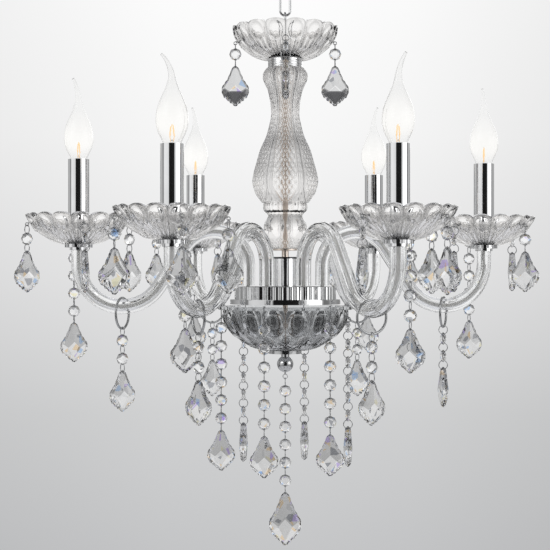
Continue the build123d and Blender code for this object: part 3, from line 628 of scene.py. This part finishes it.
def carved_column(angle, z):
    """Height of the column's pattern over its outline: a leaf of diamonds, or a smooth flute."""
    turn = ((degrees(angle) + 90) / panel + 0.5) % 1.0 - 0.5
    leaf = 0.34 * min(1.0, max(0.0, (z - 1) / 16) ** 0.55)
    if abs(turn) < leaf:
        edge = min(1.0, (leaf - abs(turn)) / 0.035)
        return edge * (0.15 + 1.5 * diamonds(turn * panel, z, 9.5, 11.0)) - 1.3
    hollow = (abs(turn) - leaf) / (0.5 - leaf)
    return -0.35 - 1.7 * sin(pi * min(1.0, hollow) / 2) ** 0.8 + 1.1 * max(0.0, 1 - hollow * 5)


def carved_foot(angle, z):
    """Height of the foot's pattern: fine points below, eight ovals, and ribs round its top."""
    u = 2 * ((angle * 8 / tau) % 1.0) - 1
    if z < 11:
        return -1.1 + 1.1 * diamonds(degrees(angle), z, 11.25, 7.0)
    q = ((z - 27) / 13) ** 2 + (u / 0.86) ** 2
    if z < 42:
        return -1.1 + 1.1 * max(0.0, 1 - q) ** 0.5
    return -0.7 + 0.7 * abs(cos(12 * angle))


def carved(piece, bottom, carving):
    """Presses a pattern into a spun piece and sets it at its height."""
    painted_relief_shade = piece.data.attributes.new("painted_relief_shade", "FLOAT", "POINT")
    for vertex, shade in zip(piece.data.vertices, painted_relief_shade.data):
        x, y, z = (1000 * part for part in vertex.co)
        r, angle = hypot(x, y), atan2(y, x)
        shade.value = 0.5
        if r > bore + 0.5:
            push = carving(angle, z)
            # painted shade: the deeper the cut at a point, the greyer the glass there
            shade.value = min(1.0, max(0.0, 1.15 + 0.85 * push))
            r += push
            vertex.co = (r * cos(angle) / 1000, r * sin(angle) / 1000, z / 1000)
    piece.data.update()
    piece.data.transform(Matrix.Translation((0, 0, bottom)))


line = smooth_line(column_line, 120)
# painted shade: the cut-in parts of column and foot are greyed to 0.66
column_glass = glass("column_glass", (0.985, 0.972, 0.96), 0.03, ior=1.36, painted_relief_shade=(0.66, 0.95, 1.0))
inside = [(bore, level) for level in (column_line[-1][1], 110, 55, 0)]
column = spun("column_glass", line + inside, 288, column_glass)
carved(column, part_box("glass_column")[0].z, carved_column)
stands_for(column, "frame", "glass_column")
line = smooth_line(foot_line, 56)
foot = spun("column_foot_glass", line + [(bore, foot_line[-1][1]), (bore, 0)], 192, column_glass)
carved(foot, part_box("column_foot")[0].z, carved_foot)
stands_for(foot, "frame", "column_foot")

# ---------------------------------------------------------------- bowl under the hub
# Deep pressed bowl that hides the arms' nuts: sixteen petals, a row of leaves between and below
# them, a pebbled bottom and a flat lip that the strands hang in.
bowl_line = [(26.5, 0), (40.5, 3.8), (57, 13.4), (68, 24.2), (75, 36.7), (75.5, 49.7)]
bowl_wall, lip_radius, lip_top = 4.5, 81.3, 53.5
outer, section = wall_section(bowl_line, bowl_wall, bowl_wall, rod_hole, 44)
rim_radius, rim_height = bowl_line[-1]
rim = [(lip_radius, rim_height), (lip_radius, lip_top), (rim_radius - bowl_wall, lip_top)]
cut = 1 + len(outer)
section = section[:cut] + rim + section[cut + 1:]
# painted shade and painted highlight: the bowl's glass is tinted grey, its hollow windows darkened to 0.30,
# and its grooves and leaf outlines lightened
bowl_glass = glass("bowl_glass", (0.74, 0.75, 0.76), 0.015, ior=1.42, painted_relief_shade=(0.95, 0.85, 0.30))
bowl = spun("bowl_glass", section, petals * 16, bowl_glass)
petalled(bowl, outer, petals, 0.0, window=(17.0, 15.0, 0.70), relief=2.6, leaves=(30.0, 13.0, 0.62))
bowl.data.transform(Matrix.Translation((0, 0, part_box("glass_bowl")[0].z)))
stands_for(bowl, "frame", "glass_bowl")

# ---------------------------------------------------------------- arms
# Six tubes of clear glass, drawn with twelve flutes and a fine bore for the lead, and bent
# over the hub, down, and up again under the dishes.
hub_top = -436.35
# millimetres: where the arm leaves the hub, its two bends, and their centres above the hub
root_radius, arch_radius, bend_radius = 46.0, 42.0, 52.0
arch_rise, bend_rise = 25.4, 28.4
arm_glass = glass("arm_glass", (0.965, 0.97, 0.972), 0.008, wave=0.00006, scale=40.0)


def arm_route():
    """Centre line of an arm in millimetres, (radius, height), from the hub to the dish."""
    candle = 1000 * candle_radius
    arch = (root_radius + arch_radius, hub_top + arch_rise)
    bend = (candle - bend_radius, hub_top + bend_rise)
    run, rise = bend[0] - arch[0], bend[1] - arch[1]
    apart, both = hypot(run, rise), arch_radius + bend_radius
    tilt = atan2(rise, run) + atan2(sqrt(apart ** 2 - both ** 2), both)
    route = [(root_radius, hub_top + 1.6 + 4.5 * k) for k in range(5)]
    steps = 30
    for k in range(steps + 1):
        angle = pi + (tilt - pi) * k / steps
        route.append((arch[0] + arch_radius * cos(angle), arch[1] + arch_radius * sin(angle)))
    start, end = route[-1], (bend[0] - bend_radius * cos(tilt), bend[1] - bend_radius * sin(tilt))
    for k in range(1, 6):
        route.append(tuple(start[i] + (end[i] - start[i]) * k / 6 for i in (0, 1)))
    for k in range(steps + 1):
        angle = pi + tilt + (tau - pi - tilt) * k / steps
        route.append((bend[0] + bend_radius * cos(angle), bend[1] + bend_radius * sin(angle)))
    route += [(candle, bend[1] + 4.7 * k) for k in range(1, 5)]
    return route


def band(k, count):
    """The faces between ring k - 1 and ring k of a tube with this many points to a ring."""
    below, level = (k - 1) * count, k * count
    return [(below + i, below + (i + 1) % count, level + (i + 1) % count, level + i) for i in range(count)]


def drawn(name, route, ring):
    """A closed ring of (side, height) points carried along a route in the XZ plane."""
    points, faces = [], []
    for k, (x, z) in enumerate(route):
        a, b = route[max(k - 1, 0)], route[min(k + 1, len(route) - 1)]
        length = hypot(b[0] - a[0], b[1] - a[1])
        normal = (-(b[1] - a[1]) / length, (b[0] - a[0]) / length)
        points += [((x + normal[0] * v) / 1000, u / 1000, (z + normal[1] * v) / 1000) for u, v in ring]
        if k:
            faces += band(k, len(ring))
    return meshed(name, points, [], faces)


flutes, tube_radius, flute_depth, lead_bore = 12, 9.0, 0.75, 3.5
ring = []
for k in range(flutes * 5):
    angle = tau * k / (flutes * 5)
    reach = tube_radius - flute_depth + flute_depth * abs(cos(flutes * angle / 2)) ** 0.7
    ring.append((reach * cos(angle), reach * sin(angle)))
skin = drawn("arm", arm_route(), ring)
bore_turns = [tau * k / 16 for k in range(16)]
bore_wall = drawn("arm_bore", arm_route(), [(lead_bore * cos(a), lead_bore * sin(a)) for a in bore_turns])
select_all_in(skin)
bpy.ops.mesh.normals_make_consistent(inside=False)
select_all_in(bore_wall)
bpy.ops.mesh.normals_make_consistent(inside=True)
arm = joined([skin, bore_wall], "arm")
select_all_in(arm)
bpy.ops.mesh.select_mode(type="EDGE")
bpy.ops.mesh.select_all(action="DESELECT")
bpy.ops.mesh.select_non_manifold()
bpy.ops.mesh.fill()
bpy.ops.object.mode_set(mode="OBJECT")
bpy.ops.object.shade_smooth_by_angle(angle=radians(50))
arm.data.materials.append(arm_glass)
arms = copies(arm, arm_turns)
stands_for(joined(arms, "glass_arms_fluted"), "frame", "glass_arms")

# ---------------------------------------------------------------- lampholders
# White plastic holders on hollow stems stand inside the chrome sleeves; the leads run down
# through the bores of the arms.
plastic = bpy.data.materials.new("holder_plastic")
plastic.use_nodes = True
nodes, links = plastic.node_tree.nodes, plastic.node_tree.links
texture = nodes.new("ShaderNodeGroup")
texture.node_tree = textures
shader = nodes["Principled BSDF"]
links.new(ramp(nodes, links, texture.outputs["Broad"],
               [(0.3, (0.82, 0.81, 0.78, 1)), (0.7, (0.88, 0.87, 0.85, 1))]), shader.inputs["Base Color"])
shader.inputs["Roughness"].default_value = 0.55
dress("lampholders", plastic)

# ---------------------------------------------------------------- flame bulbs
# Clear glass flames with a bent tip on a small screw cap, lit: a pale glow fills the glass
# and the golden filaments stand just above the cap.
candle_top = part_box("candle_sleeves")[1].z
bulb_glass = glass("bulb_glass", (0.94, 0.94, 0.938), 0.02, wave=0.00003, scale=25.0, ior=1.16,
                   glow=((1.0, 0.94, 0.82), 0.034, candle_top))
filament_glow = bpy.data.materials.new("filament_glow")
filament_glow.use_nodes = True
shader = filament_glow.node_tree.nodes["Principled BSDF"]
shader.inputs["Base Color"].default_value = (0.45, 0.28, 0.10, 1)
shader.inputs["Emission Color"].default_value = (1.0, 0.62, 0.24, 1)
shader.inputs["Emission Strength"].default_value = 0.85
# millimetres from the top of the sleeve: the flame's outline, and the tip that bends over
neck_radius, neck_height = 4.6, 67
tip_radius, tip_reach, tip_rise = 1.4, 11.5, 28.0
flame_wall = 0.8
bulb_line = [(6.8, -10.5), (9.2, -3), (10.6, 3), (15.6, 14), (17.5, 25), (15.8, 38), (11.2, 50), (7.2, 59),
             (neck_radius, neck_height)]
tip_azimuths = (90.0, 60.0, 116.0, 244.0, 180.0, -49.0)


def bulb_envelope(wall):
    """Rings of the glass flame: up the outline, then along the bent tip."""
    rings = [(0.0, z, r - wall, 0.0) for r, z in smooth_line(bulb_line, 30)]
    lean = 2 * atan2(tip_reach, tip_rise)
    bend = tip_rise / sin(lean)
    steps = 12
    for k in range(1, steps + 1):
        angle = lean * k / steps
        reach = neck_radius + (tip_radius - neck_radius) * (k / steps) ** 0.7
        side, level = bend * (1 - cos(angle)), neck_height + bend * sin(angle)
        rings.append((side, level, max(reach - wall, 0.5), angle))
    return rings


def tube_of(name, rings, around, inside):
    """A closed tube through leaning rings, (side, height, radius, lean); inside turns it over."""
    points, faces = [], []
    for k, (x, z, r, lean) in enumerate(rings):
        for i in range(around):
            a = tau * i / around
            points.append(((x + r * cos(a) * cos(lean)) / 1000, r * sin(a) / 1000,
                           (z - r * cos(a) * sin(lean)) / 1000))
        if k:
            faces += band(k, around)
    faces += [tuple(range(around))[::-1], tuple(range((len(rings) - 1) * around, len(rings) * around))]
    if inside:
        faces = [face[::-1] for face in faces]
    piece = meshed(name, points, [], faces)
    piece.data.polygons.foreach_set("use_smooth", [len(face) < 5 for face in faces])
    return piece


def filament(side):
    """One of a bulb's two lit wires: up from the stem, in a coil, and in to the middle."""
    curve = bpy.data.curves.new("filament", "CURVE")
    curve.dimensions = "3D"
    curve.bevel_depth = 0.00035
    curve.bevel_resolution = 2
    spline = curve.splines.new("POLY")
    coil, foot, apart = 0.75, 8.0, 2.3
    path = [(side * 1.2, 0, 2.0), (side * 1.9, 0, 5.0), (side * apart, 0, foot)]
    path += [(side * (apart - 0.045 * k) + coil * cos(1.9 * k), coil * sin(1.9 * k), foot + 0.42 * k)
             for k in range(1, 26)]
    path += [(0, 0, 20.5)]
    spline.points.add(len(path) - 1)
    for point, (x, y, z) in zip(spline.points, path):
        point.co = (x / 1000, y / 1000, z / 1000, 1)
    wire = placed("filament", curve)
    picked(wire)
    bpy.ops.object.convert(target="MESH")
    wire.data.materials.append(filament_glow)
    return wire


# the cap from its tip up: contact, six turns of thread, and the neck that holds the glass
crest, root, pitch = 6.85, 6.2, 3.0
cap_line = [(0, -36.5), (2.2, -36.5), (3.4, -34.6), (5.6, -33.6)]
for k in range(6):
    cap_line += [(crest, -32.6 + pitch * k), (crest, -31.8 + pitch * k), (root, -30.6 + pitch * k)]
cap_line += [(6.8, -13.8), (6.8, -10.6), (0, -10.6)]
stem_line = [(0, -10.4), (3.4, -10.4), (2.6, -2), (1.5, 3.5), (0, 4.5)]
cap_metal = metal("bulb_cap_nickel", (0.78, 0.76, 0.70), 0.12)
for number, (spot, azimuth) in enumerate(zip(arm_spots, tip_azimuths), 1):
    body = f"bulb_{number}"
    skin = tube_of(f"flame_{number}", bulb_envelope(0.0), 36, False)
    inner = tube_of(f"flame_inner_{number}", bulb_envelope(flame_wall)[2:], 36, True)
    for piece in (skin, inner):
        piece.data.materials.append(bulb_glass)
    cap = spun(f"cap_{number}", cap_line, 32, cap_metal, closed=False)
    stem = spun(f"stem_{number}", stem_line, 20, bulb_glass, closed=False)
    wires = [filament(side) for side in (-1, 1)]
    bulb = joined([skin, inner, cap, stem] + wires, f"flame_bulb_{number}")
    bulb.data.transform(Matrix.Translation((spot.x, spot.y, candle_top))
                        @ Matrix.Rotation(radians(azimuth), 4, "Z"))
    stands_for(bulb, body, body)

# ---------------------------------------------------------------- crystals and their rings
# Octagon beads and scalloped pendeloques of cut crystal, threaded with rings of chrome wire
# and hung from headed pins; every strand and drop swings by itself.
crystal = bpy.data.materials.new("cut_crystal")
crystal.use_nodes = True
nodes, links = crystal.node_tree.nodes, crystal.node_tree.links
shader = nodes["Principled BSDF"]
shader.inputs["Transmission Weight"].default_value = 1.0
shader.inputs["IOR"].default_value = 1.62
shader.inputs["Roughness"].default_value = 0.0
place = nodes.new("ShaderNodeTexCoord")
facet = nodes.new("ShaderNodeVectorMath")
facet.operation = "SNAP"
facet.inputs[1].default_value = (0.11, 0.11, 0.11)
links.new(place.outputs["Normal"], facet.inputs[0])
cells = nodes.new("ShaderNodeTexVoronoi")
cells.inputs["Scale"].default_value = 120.0
links.new(place.outputs["Object"], cells.inputs["Vector"])
patch = nodes.new("ShaderNodeVectorMath")
patch.operation = "ADD"
links.new(facet.outputs[0], patch.inputs[0])
links.new(cells.outputs["Color"], patch.inputs[1])
chance = nodes.new("ShaderNodeTexWhiteNoise")
links.new(patch.outputs[0], chance.inputs["Vector"])
# painted glints and painted shade: facets picked at random by direction and spot are mostly near white, a
# few tinted orange, blue, yellow and violet as painted glints of split light, some grey and a few nearly
# black as painted shade
painted_glints = ramp(nodes, links, chance.outputs["Value"],
              [(0.0, (0.97, 0.972, 0.975, 1)), (0.60, (0.92, 0.923, 0.926, 1)),
               (0.86, (0.74, 0.75, 0.76, 1)), (0.90, (1.0, 0.66, 0.34, 1)), (0.92, (0.36, 0.58, 1.0, 1)),
               (0.94, (0.95, 0.88, 0.50, 1)), (0.955, (0.50, 0.36, 0.95, 1)),
               (0.965, (0.24, 0.25, 0.28, 1))], "CONSTANT")
# facets that lean upwards throw their light away and look grey
lean = nodes.new("ShaderNodeSeparateXYZ")
links.new(place.outputs["Normal"], lean.inputs[0])
upward = ramp(nodes, links, share_of(nodes, links, lean.outputs["Z"], -1.0, 1.0),
              [(0.0, grey(1.0)), (0.50, grey(1.0)), (0.515, grey(0.62)), (0.60, grey(0.54)),
               (0.72, grey(0.40)), (1.0, grey(0.40))])
links.new(dimmed(nodes, links, painted_glints, upward), shader.inputs["Base Color"])
# millimetres from a pendeloque's top to its hole
hook_hole = 2.9


def cut_bead(across, thick, edge, table):
    """Octagon bead: an eight-sided disc whose two faces are drawn in and turned to a table."""
    shrink = table / (across / cos(pi / 8))
    deselect()
    bpy.ops.mesh.primitive_cylinder_add(vertices=8, radius=across / 2 / cos(pi / 8), depth=edge,
                                        rotation=(pi / 2, 0, 0))
    bead = bpy.context.object
    bpy.ops.object.transform_apply(location=False, rotation=True, scale=False)
    for side in (-1, 1):
        bpy.ops.object.mode_set(mode="EDIT")
        bpy.ops.mesh.select_mode(type="FACE")
        bpy.ops.mesh.select_all(action="DESELECT")
        bpy.ops.object.mode_set(mode="OBJECT")
        for polygon in bead.data.polygons:
            polygon.select = polygon.normal.y * side > 0.9
        bpy.ops.object.mode_set(mode="EDIT")
        bpy.ops.mesh.extrude_region_move(TRANSFORM_OT_translate={"value": (0, side * (thick - edge) / 2, 0)})
        bpy.ops.transform.resize(value=(shrink, 1, shrink))
        bpy.ops.transform.rotate(value=pi / 8, orient_axis="Y", center_override=(0, 0, 0))
    bpy.ops.mesh.select_all(action="SELECT")
    bpy.ops.mesh.quads_convert_to_tris()
    bpy.ops.object.mode_set(mode="OBJECT")
    bead.data.materials.append(crystal)
    return bead


def cut_pendeloque(width, tall, thick):
    """Scalloped pendeloque with its hole at the origin: a ridge above, a bright kite below."""
    half, edge = width / 2, 0.8
    side = smooth_line([(0.0, 0.0), (0.20, 0.05), (0.40, 0.22), (0.62, 0.39), (0.93, 0.53), (0.92, 0.70),
                        (0.56, 0.84), (0.0, 1.0)], 11)
    loop = side + [(-x, level) for x, level in side[-2:0:-1]]
    count = len(loop)

    def spot(x, level, y):
        """A point in metres: shares of the half width and the height, and a depth."""
        return (x * half / 1000, y / 1000, (hook_hole - level * tall) / 1000)

    deep = thick / 2
    ridge, centre, tail = (0.0, 0.13, 0.70 * deep), (0.0, 0.50, deep), (0.0, 0.90, 0.72 * deep)
    kite_wide, kite_level, upper = 0.42, 0.64, 0.60
    corner_y = centre[2] + (tail[2] - centre[2]) * (kite_level - centre[1]) / (tail[1] - centre[1])
    slope = (centre[2] - ridge[2]) / (centre[1] - ridge[1])
    fall = (centre[2] + slope * (kite_level - centre[1]) - corner_y) / kite_wide
    # the edge of the flat front is the outline drawn in towards its widest level
    waist = 0.52
    front = [(x * 0.80, waist + (level - waist) * 0.88) for x, level in loop]
    points, faces, rims = [], [], []
    for face in (-1, 1):
        base = len(points)
        for k, (x, level) in enumerate(loop):
            ahead = loop[(k + 1) % count]
            points.append(spot(x, level, face * edge))
            mx, ml = (x + ahead[0]) / 2, (level + ahead[1]) / 2
            swell = 0.055 if 0.03 < ml < 0.97 else 0.0
            points.append(spot(mx * (1 + swell), ml + (swell * 0.4 if ml > 0.6 else 0), face * edge))
        rims.append(base)
        inner = len(points)
        for x, level in front:
            y = ridge[2] + slope * (level - ridge[1]) - fall * abs(x) if level < upper else 0.62 * deep
            points.append(spot(x, level, face * max(0.35 * deep, min(y, 0.96 * deep))))
        top = len(points)
        points += [spot(0, ridge[1], face * ridge[2]), spot(0, centre[1], face * centre[2]),
                   spot(kite_wide, kite_level, face * corner_y), spot(0, tail[1], face * tail[2]),
                   spot(-kite_wide, kite_level, face * corner_y)]

        def add(*corners):
            """A facet, wound so that it looks out on its own side."""
            faces.append(corners if face < 0 else corners[::-1])

        for k in range(count):
            ahead = (k + 1) % count
            add(base + 2 * k, base + 2 * k + 1, inner + k)
            add(base + 2 * k + 1, inner + ahead, inner + k)
            add(base + 2 * k + 1, base + 2 * ahead, inner + ahead)
        wide = [k for k in range(count) if front[k][1] < upper]
        right = [k for k in wide if loop[k][0] > 0]
        left = [k for k in wide if loop[k][0] < 0]
        last_right, last_left = max(right), min(left)
        # large upper facets either side of the ridge, small ones where they meet the kite
        add(top, top + 1, top + 2, *[inner + k for k in range(last_right, -1, -1)])
        add(top, *[inner + k % count for k in range(count, last_left - 1, -1)], top + 4, top + 1)
        lower_right = list(range(last_right, count // 2 + 1))
        for a, b in zip(lower_right, lower_right[1:]):
            add(inner + a, top + 2 if a < count // 2 - 1 else top + 3, inner + b)
        add(top + 2, top + 3, inner + count // 2 - 1)
        lower_left = list(range(count // 2, last_left + 1))
        for a, b in zip(lower_left, lower_left[1:]):
            add(inner + a, top + 4 if b > count // 2 + 1 else top + 3, inner + b)
        add(top + 4, inner + count // 2 + 1, top + 3)
        add(top + 1, top + 4, top + 3, top + 2)
    for k in range(2 * count):
        ahead = (k + 1) % (2 * count)
        faces.append((rims[0] + k, rims[1] + k, rims[1] + ahead, rims[0] + ahead))
    piece = meshed("pendeloque", points, [], faces)
    select_all_in(piece)
    bpy.ops.mesh.remove_doubles(threshold=0.00001)
    bpy.ops.mesh.normals_make_consistent(inside=False)
    bpy.ops.mesh.quads_convert_to_tris()
    bpy.ops.object.mode_set(mode="OBJECT")
    piece.data.materials.append(crystal)
    return piece


bead = cut_bead(across=0.014, thick=0.006, edge=0.0014, table=0.0084)
small_drop = cut_pendeloque(width=35, tall=50, thick=11)
# the top drops' lower facets, which face the front or the back, catch no light
kite_top = -0.0285
shaded = crystal.copy()
shaded.name = "cut_crystal_shaded"
colour = shaded.node_tree.nodes["Principled BSDF"].inputs["Base Color"]
colour.default_value = (0.12, 0.12, 0.125, 1)
shaded.node_tree.links.remove(colour.links[0])
shaded_drop = small_drop.copy()
shaded_drop.data = small_drop.data.copy()
shaded_drop.data.materials.append(shaded)
for polygon in shaded_drop.data.polygons:
    if polygon.center.z < kite_top and abs(polygon.normal.y) > 0.75:
        polygon.material_index = 1
centre_drop = cut_pendeloque(width=41, tall=66, thick=13)


def restrung(node, body):
    """Takes a CAD strand apart and sets a finished crystal or ring in each one's place."""
    strand = frame["nodes"][node].copy()
    strand.data = strand.data.copy()
    strand.parent = None
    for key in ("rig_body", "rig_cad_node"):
        if key in strand:
            del strand[key]
    bpy.context.scene.collection.objects.link(strand)
    strand.data.materials.clear()
    select_all_in(strand)
    bpy.ops.mesh.remove_doubles(threshold=0.00002)
    bpy.ops.mesh.separate(type="LOOSE")
    bpy.ops.object.mode_set(mode="OBJECT")
    made = []
    for part in list(bpy.context.selected_objects):
        points = [vertex.co for vertex in part.data.vertices]
        low = Vector([min(p[i] for p in points) for i in range(3)])
        high = Vector([max(p[i] for p in points) for i in range(3)])
        middle = (low + high) / 2
        aside = [(p.x - middle.x, p.y - middle.y) for p in points]
        spread = [(hypot(x, y), atan2(y, x)) for x, y in aside]
        reach = max(distance for distance, _ in spread)
        outermost = [angle for distance, angle in spread if distance > 0.93 * reach]
        sines, cosines = (sum(wave(2 * angle) for angle in outermost) for wave in (sin, cos))
        turned = Matrix.Rotation(0.5 * atan2(sines, cosines), 4, "Z")
        # told apart by height in millimetres: the centre drop, the other drops, beads, and wire
        tall = (high.z - low.z) * 1000
        hung = Vector((middle.x, middle.y, high.z - hook_hole / 1000))
        if tall > 60:
            model, place = centre_drop, hung
        elif tall > 40:
            model, place = (shaded_drop if node.startswith("top_drops") else small_drop), hung
        elif 13.2 < tall < 14.8:
            model, place = bead, middle
        else:
            part.data.materials.clear()
            part.data.materials.append(wire_metal)
            picked(part)
            bpy.ops.object.shade_smooth_by_angle(angle=radians(50))
            made.append(part)
            continue
        copy = model.copy()
        copy.data = model.data.copy()
        copy.data.transform(Matrix.Translation(place) @ turned)
        bpy.context.scene.collection.objects.link(copy)
        bpy.data.objects.remove(part)
        made.append(copy)
    stands_for(joined(made, f"{node}_cut"), body, node)


for body, members in frame["record"]["behaviour"]["bodies"].items():
    for node in members:
        if "drop" in node or "strand" in node:
            restrung(node, body)
for model in (bead, small_drop, shaded_drop, centre_drop):
    bpy.data.objects.remove(model)
